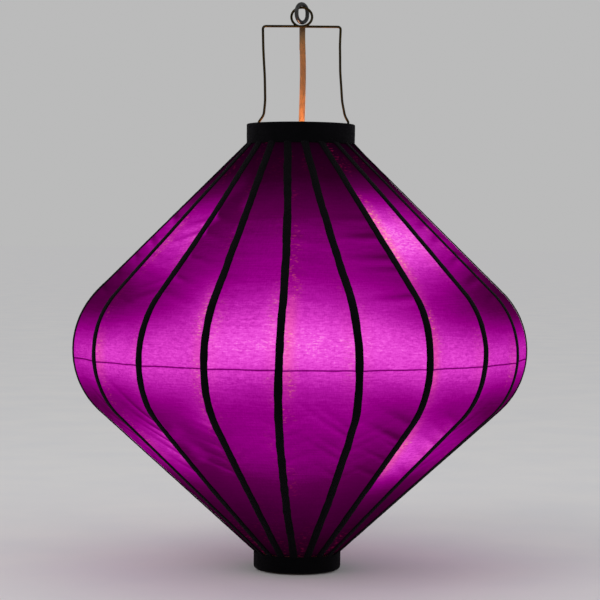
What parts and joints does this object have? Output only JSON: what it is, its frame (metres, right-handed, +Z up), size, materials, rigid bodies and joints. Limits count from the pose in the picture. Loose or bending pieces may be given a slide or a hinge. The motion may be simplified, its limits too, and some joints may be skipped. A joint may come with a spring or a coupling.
{
  "type": "collapsible silk lantern",
  "caption": "Collapsible diamond-shaped silk lantern: bamboo ribs between cloth-banded wooden rings, black trim over the ribs, a wire hanger with an oval link, and a lamp hung inside.",
  "frame": {"origin": "centre of the bottom ring underside", "axes": "+Z up through both rings; the wire hanger lies in the XZ plane; the front faces -Y"},
  "size_m": [0.4542, 0.4542, 0.5665],
  "materials": {
    "bamboo": "satin",
    "ring_wood": "satin",
    "band_cloth": "matte",
    "pivot_wire": "satin",
    "hanger_wire": "satin",
    "silk": "satin",
    "braid": "matte",
    "thread": "matte",
    "link_metal": "satin",
    "cord_cloth": "matte",
    "holder_plastic": "satin",
    "contact_brass": "satin",
    "cap_metal": "satin",
    "bulb_glass": "frosted"
  },
  "bodies": {
    "base": {"bottom_ring": "ring_wood", "bottom_ring_band": "band_cloth", "bottom_rib_wire": "pivot_wire", "wire_hanger": "hanger_wire", "silk_cover": "silk", "rib_braids": "braid", "waist_thread": "thread", "lamp_cord": "cord_cloth", "lampholder_cap": "holder_plastic", "lampholder_shell": "holder_plastic", "lampholder_contact": "contact_brass"},
    "rib_00_lower": {"rib_00_lower": "bamboo"},
    "rib_00_upper": {"rib_00_upper": "bamboo"},
    "rib_01_lower": {"rib_01_lower": "bamboo"},
    "rib_01_upper": {"rib_01_upper": "bamboo"},
    "rib_02_lower": {"rib_02_lower": "bamboo"},
    "rib_02_upper": {"rib_02_upper": "bamboo"},
    "rib_03_lower": {"rib_03_lower": "bamboo"},
    "rib_03_upper": {"rib_03_upper": "bamboo"},
    "rib_04_lower": {"rib_04_lower": "bamboo"},
    "rib_04_upper": {"rib_04_upper": "bamboo"},
    "rib_05_lower": {"rib_05_lower": "bamboo"},
    "rib_05_upper": {"rib_05_upper": "bamboo"},
    "rib_06_lower": {"rib_06_lower": "bamboo"},
    "rib_06_upper": {"rib_06_upper": "bamboo"},
    "rib_07_lower": {"rib_07_lower": "bamboo"},
    "rib_07_upper": {"rib_07_upper": "bamboo"},
    "rib_08_lower": {"rib_08_lower": "bamboo"},
    "rib_08_upper": {"rib_08_upper": "bamboo"},
    "rib_09_lower": {"rib_09_lower": "bamboo"},
    "rib_09_upper": {"rib_09_upper": "bamboo"},
    "rib_10_lower": {"rib_10_lower": "bamboo"},
    "rib_10_upper": {"rib_10_upper": "bamboo"},
    "rib_11_lower": {"rib_11_lower": "bamboo"},
    "rib_11_upper": {"rib_11_upper": "bamboo"},
    "rib_12_lower": {"rib_12_lower": "bamboo"},
    "rib_12_upper": {"rib_12_upper": "bamboo"},
    "rib_13_lower": {"rib_13_lower": "bamboo"},
    "rib_13_upper": {"rib_13_upper": "bamboo"},
    "rib_14_lower": {"rib_14_lower": "bamboo"},
    "rib_14_upper": {"rib_14_upper": "bamboo"},
    "rib_15_lower": {"rib_15_lower": "bamboo"},
    "rib_15_upper": {"rib_15_upper": "bamboo"},
    "rib_16_lower": {"rib_16_lower": "bamboo"},
    "rib_16_upper": {"rib_16_upper": "bamboo"},
    "rib_17_lower": {"rib_17_lower": "bamboo"},
    "rib_17_upper": {"rib_17_upper": "bamboo"},
    "rib_18_lower": {"rib_18_lower": "bamboo"},
    "rib_18_upper": {"rib_18_upper": "bamboo"},
    "rib_19_lower": {"rib_19_lower": "bamboo"},
    "rib_19_upper": {"rib_19_upper": "bamboo"},
    "top_ring": {"top_ring": "ring_wood", "top_ring_band": "band_cloth", "top_rib_wire": "pivot_wire"},
    "link": {"hook_link": "link_metal"},
    "bulb": {"bulb_globe": "bulb_glass", "bulb_cap": "cap_metal", "bulb_contact": "contact_brass"}
  },
  "joints": [
    {"name": "fold", "type": "hinge", "parent": "base", "child": "rib_00_lower", "pos_m": [-0.00185, -0.03317, 0.01454], "axis": [-0.9984, 0.0558, 0], "range_deg": [0, 38.07], "deforming": ["silk_cover", "rib_braids", "waist_thread", "wire_hanger"]},
    {"name": "rib_00_waist", "type": "hinge", "parent": "rib_00_lower", "child": "rib_00_upper", "pos_m": [-0.01301, -0.23264, 0.2272], "axis": [0.9984, -0.0558, 0], "range_deg": [0, 78.26]},
    {"name": "rib_01_foot", "type": "hinge", "parent": "base", "child": "rib_01_lower", "pos_m": [0.00849, -0.03212, 0.01454], "axis": [-0.9668, -0.2554, 0], "range_deg": [0, 38.09]},
    {"name": "rib_01_waist", "type": "hinge", "parent": "rib_01_lower", "child": "rib_01_upper", "pos_m": [0.05952, -0.22527, 0.2272], "axis": [0.9668, 0.2554, 0], "range_deg": [0, 78.26]},
    {"name": "rib_02_foot", "type": "hinge", "parent": "base", "child": "rib_02_lower", "pos_m": [0.018, -0.02792, 0.01454], "axis": [-0.8406, -0.5417, 0], "range_deg": [0, 38.09]},
    {"name": "rib_02_waist", "type": "hinge", "parent": "rib_02_lower", "child": "rib_02_upper", "pos_m": [0.12622, -0.19585, 0.2272], "axis": [0.8406, 0.5417, 0], "range_deg": [0, 78.26]},
    {"name": "rib_03_foot", "type": "hinge", "parent": "base", "child": "rib_03_lower", "pos_m": [0.02574, -0.021, 0.01454], "axis": [-0.632, -0.7749, 0], "range_deg": [0, 38.09]},
    {"name": "rib_03_waist", "type": "hinge", "parent": "rib_03_lower", "child": "rib_03_upper", "pos_m": [0.18056, -0.14726, 0.2272], "axis": [0.632, 0.7749, 0], "range_deg": [0, 78.26]},
    {"name": "rib_04_foot", "type": "hinge", "parent": "base", "child": "rib_04_lower", "pos_m": [0.03097, -0.01201, 0.01454], "axis": [-0.3616, -0.9323, 0], "range_deg": [0, 38.09]},
    {"name": "rib_04_waist", "type": "hinge", "parent": "rib_04_lower", "child": "rib_04_upper", "pos_m": [0.21723, -0.08426, 0.2272], "axis": [0.3616, 0.9323, 0], "range_deg": [0, 78.26]},
    {"name": "rib_05_foot", "type": "hinge", "parent": "base", "child": "rib_05_lower", "pos_m": [0.03317, -0.00185, 0.01454], "axis": [-0.0558, -0.9984, 0], "range_deg": [0, 38.09]},
    {"name": "rib_05_waist", "type": "hinge", "parent": "rib_05_lower", "child": "rib_05_upper", "pos_m": [0.23264, -0.01301, 0.2272], "axis": [0.0558, 0.9984, 0], "range_deg": [0, 78.26]},
    {"name": "rib_06_foot", "type": "hinge", "parent": "base", "child": "rib_06_lower", "pos_m": [0.03212, 0.00849, 0.01454], "axis": [0.2554, -0.9668, 0], "range_deg": [0, 38.09]},
    {"name": "rib_06_waist", "type": "hinge", "parent": "rib_06_lower", "child": "rib_06_upper", "pos_m": [0.22527, 0.05952, 0.2272], "axis": [-0.2554, 0.9668, 0], "range_deg": [0, 78.26]},
    {"name": "rib_07_foot", "type": "hinge", "parent": "base", "child": "rib_07_lower", "pos_m": [0.02792, 0.018, 0.01454], "axis": [0.5417, -0.8406, 0], "range_deg": [0, 38.09]},
    {"name": "rib_07_waist", "type": "hinge", "parent": "rib_07_lower", "child": "rib_07_upper", "pos_m": [0.19585, 0.12622, 0.2272], "axis": [-0.5417, 0.8406, 0], "range_deg": [0, 78.26]},
    {"name": "rib_08_foot", "type": "hinge", "parent": "base", "child": "rib_08_lower", "pos_m": [0.021, 0.02574, 0.01454], "axis": [0.7749, -0.632, 0], "range_deg": [0, 38.09]},
    {"name": "rib_08_waist", "type": "hinge", "parent": "rib_08_lower", "child": "rib_08_upper", "pos_m": [0.14726, 0.18056, 0.2272], "axis": [-0.7749, 0.632, 0], "range_deg": [0, 78.26]},
    {"name": "rib_09_foot", "type": "hinge", "parent": "base", "child": "rib_09_lower", "pos_m": [0.01201, 0.03097, 0.01454], "axis": [0.9323, -0.3616, 0], "range_deg": [0, 38.09]},
    {"name": "rib_09_waist", "type": "hinge", "parent": "rib_09_lower", "child": "rib_09_upper", "pos_m": [0.08426, 0.21723, 0.2272], "axis": [-0.9323, 0.3616, 0], "range_deg": [0, 78.26]},
    {"name": "rib_10_foot", "type": "hinge", "parent": "base", "child": "rib_10_lower", "pos_m": [0.00185, 0.03317, 0.01454], "axis": [0.9984, -0.0558, 0], "range_deg": [0, 38.09]},
    {"name": "rib_10_waist", "type": "hinge", "parent": "rib_10_lower", "child": "rib_10_upper", "pos_m": [0.01301, 0.23264, 0.2272], "axis": [-0.9984, 0.0558, 0], "range_deg": [0, 78.26]},
    {"name": "rib_11_foot", "type": "hinge", "parent": "base", "child": "rib_11_lower", "pos_m": [-0.00849, 0.03212, 0.01454], "axis": [0.9668, 0.2554, 0], "range_deg": [0, 38.09]},
    {"name": "rib_11_waist", "type": "hinge", "parent": "rib_11_lower", "child": "rib_11_upper", "pos_m": [-0.05952, 0.22527, 0.2272], "axis": [-0.9668, -0.2554, 0], "range_deg": [0, 78.26]},
    {"name": "rib_12_foot", "type": "hinge", "parent": "base", "child": "rib_12_lower", "pos_m": [-0.018, 0.02792, 0.01454], "axis": [0.8406, 0.5417, 0], "range_deg": [0, 38.09]},
    {"name": "rib_12_waist", "type": "hinge", "parent": "rib_12_lower", "child": "rib_12_upper", "pos_m": [-0.12622, 0.19585, 0.2272], "axis": [-0.8406, -0.5417, 0], "range_deg": [0, 78.26]},
    {"name": "rib_13_foot", "type": "hinge", "parent": "base", "child": "rib_13_lower", "pos_m": [-0.02574, 0.021, 0.01454], "axis": [0.632, 0.7749, 0], "range_deg": [0, 38.09]},
    {"name": "rib_13_waist", "type": "hinge", "parent": "rib_13_lower", "child": "rib_13_upper", "pos_m": [-0.18056, 0.14726, 0.2272], "axis": [-0.632, -0.7749, 0], "range_deg": [0, 78.26]},
    {"name": "rib_14_foot", "type": "hinge", "parent": "base", "child": "rib_14_lower", "pos_m": [-0.03097, 0.01201, 0.01454], "axis": [0.3616, 0.9323, 0], "range_deg": [0, 38.09]},
    {"name": "rib_14_waist", "type": "hinge", "parent": "rib_14_lower", "child": "rib_14_upper", "pos_m": [-0.21723, 0.08426, 0.2272], "axis": [-0.3616, -0.9323, 0], "range_deg": [0, 78.26]},
    {"name": "rib_15_foot", "type": "hinge", "parent": "base", "child": "rib_15_lower", "pos_m": [-0.03317, 0.00185, 0.01454], "axis": [0.0558, 0.9984, 0], "range_deg": [0, 38.09]},
    {"name": "rib_15_waist", "type": "hinge", "parent": "rib_15_lower", "child": "rib_15_upper", "pos_m": [-0.23264, 0.01301, 0.2272], "axis": [-0.0558, -0.9984, 0], "range_deg": [0, 78.26]},
    {"name": "rib_16_foot", "type": "hinge", "parent": "base", "child": "rib_16_lower", "pos_m": [-0.03212, -0.00849, 0.01454], "axis": [-0.2554, 0.9668, 0], "range_deg": [0, 38.09]},
    {"name": "rib_16_waist", "type": "hinge", "parent": "rib_16_lower", "child": "rib_16_upper", "pos_m": [-0.22527, -0.05952, 0.2272], "axis": [0.2554, -0.9668, 0], "range_deg": [0, 78.26]},
    {"name": "rib_17_foot", "type": "hinge", "parent": "base", "child": "rib_17_lower", "pos_m": [-0.02792, -0.018, 0.01454], "axis": [-0.5417, 0.8406, 0], "range_deg": [0, 38.09]},
    {"name": "rib_17_waist", "type": "hinge", "parent": "rib_17_lower", "child": "rib_17_upper", "pos_m": [-0.19585, -0.12622, 0.2272], "axis": [0.5417, -0.8406, 0], "range_deg": [0, 78.26]},
    {"name": "rib_18_foot", "type": "hinge", "parent": "base", "child": "rib_18_lower", "pos_m": [-0.021, -0.02574, 0.01454], "axis": [-0.7749, 0.632, 0], "range_deg": [0, 38.09]},
    {"name": "rib_18_waist", "type": "hinge", "parent": "rib_18_lower", "child": "rib_18_upper", "pos_m": [-0.14726, -0.18056, 0.2272], "axis": [0.7749, -0.632, 0], "range_deg": [0, 78.26]},
    {"name": "rib_19_foot", "type": "hinge", "parent": "base", "child": "rib_19_lower", "pos_m": [-0.01201, -0.03097, 0.01454], "axis": [-0.9323, 0.3616, 0], "range_deg": [0, 38.09]},
    {"name": "rib_19_waist", "type": "hinge", "parent": "rib_19_lower", "child": "rib_19_upper", "pos_m": [-0.08426, -0.21723, 0.2272], "axis": [0.9323, -0.3616, 0], "range_deg": [0, 78.26]},
    {"name": "top_ring_level", "type": "hinge", "parent": "rib_00_upper", "child": "top_ring", "pos_m": [-0.01182, -0.0444, 0.42782], "axis": [-0.9984, 0.0558, 0], "range_deg": [0, 40.19]},
    {"name": "link_swing", "type": "hinge", "parent": "base", "child": "link", "pos_m": [0, 0, 0.5611], "axis": [1, 0, 0], "range_deg": [-90, 180]},
    {"name": "bulb_unscrew", "type": "hinge", "parent": "base", "child": "bulb", "pos_m": [0, 0, 0.285], "axis": [0, 0, -1], "range_deg": [0, 720]}
  ],
  "couplings": [
    {"joint": "rib_00_waist", "follows": "fold", "ratio": 2.0545},
    {"joint": "rib_01_foot", "follows": "fold", "ratio": 1},
    {"joint": "rib_01_waist", "follows": "fold", "ratio": 2.0545},
    {"joint": "rib_02_foot", "follows": "fold", "ratio": 1},
    {"joint": "rib_02_waist", "follows": "fold", "ratio": 2.0545},
    {"joint": "rib_03_foot", "follows": "fold", "ratio": 1},
    {"joint": "rib_03_waist", "follows": "fold", "ratio": 2.0545},
    {"joint": "rib_04_foot", "follows": "fold", "ratio": 1},
    {"joint": "rib_04_waist", "follows": "fold", "ratio": 2.0545},
    {"joint": "rib_05_foot", "follows": "fold", "ratio": 1},
    {"joint": "rib_05_waist", "follows": "fold", "ratio": 2.0545},
    {"joint": "rib_06_foot", "follows": "fold", "ratio": 1},
    {"joint": "rib_06_waist", "follows": "fold", "ratio": 2.0545},
    {"joint": "rib_07_foot", "follows": "fold", "ratio": 1},
    {"joint": "rib_07_waist", "follows": "fold", "ratio": 2.0545},
    {"joint": "rib_08_foot", "follows": "fold", "ratio": 1},
    {"joint": "rib_08_waist", "follows": "fold", "ratio": 2.0545},
    {"joint": "rib_09_foot", "follows": "fold", "ratio": 1},
    {"joint": "rib_09_waist", "follows": "fold", "ratio": 2.0545},
    {"joint": "rib_10_foot", "follows": "fold", "ratio": 1},
    {"joint": "rib_10_waist", "follows": "fold", "ratio": 2.0545},
    {"joint": "rib_11_foot", "follows": "fold", "ratio": 1},
    {"joint": "rib_11_waist", "follows": "fold", "ratio": 2.0545},
    {"joint": "rib_12_foot", "follows": "fold", "ratio": 1},
    {"joint": "rib_12_waist", "follows": "fold", "ratio": 2.0545},
    {"joint": "rib_13_foot", "follows": "fold", "ratio": 1},
    {"joint": "rib_13_waist", "follows": "fold", "ratio": 2.0545},
    {"joint": "rib_14_foot", "follows": "fold", "ratio": 1},
    {"joint": "rib_14_waist", "follows": "fold", "ratio": 2.0545},
    {"joint": "rib_15_foot", "follows": "fold", "ratio": 1},
    {"joint": "rib_15_waist", "follows": "fold", "ratio": 2.0545},
    {"joint": "rib_16_foot", "follows": "fold", "ratio": 1},
    {"joint": "rib_16_waist", "follows": "fold", "ratio": 2.0545},
    {"joint": "rib_17_foot", "follows": "fold", "ratio": 1},
    {"joint": "rib_17_waist", "follows": "fold", "ratio": 2.0545},
    {"joint": "rib_18_foot", "follows": "fold", "ratio": 1},
    {"joint": "rib_18_waist", "follows": "fold", "ratio": 2.0545},
    {"joint": "rib_19_foot", "follows": "fold", "ratio": 1},
    {"joint": "rib_19_waist", "follows": "fold", "ratio": 2.0545},
    {"joint": "top_ring_level", "follows": "fold", "ratio": 1.0545}
  ]
}
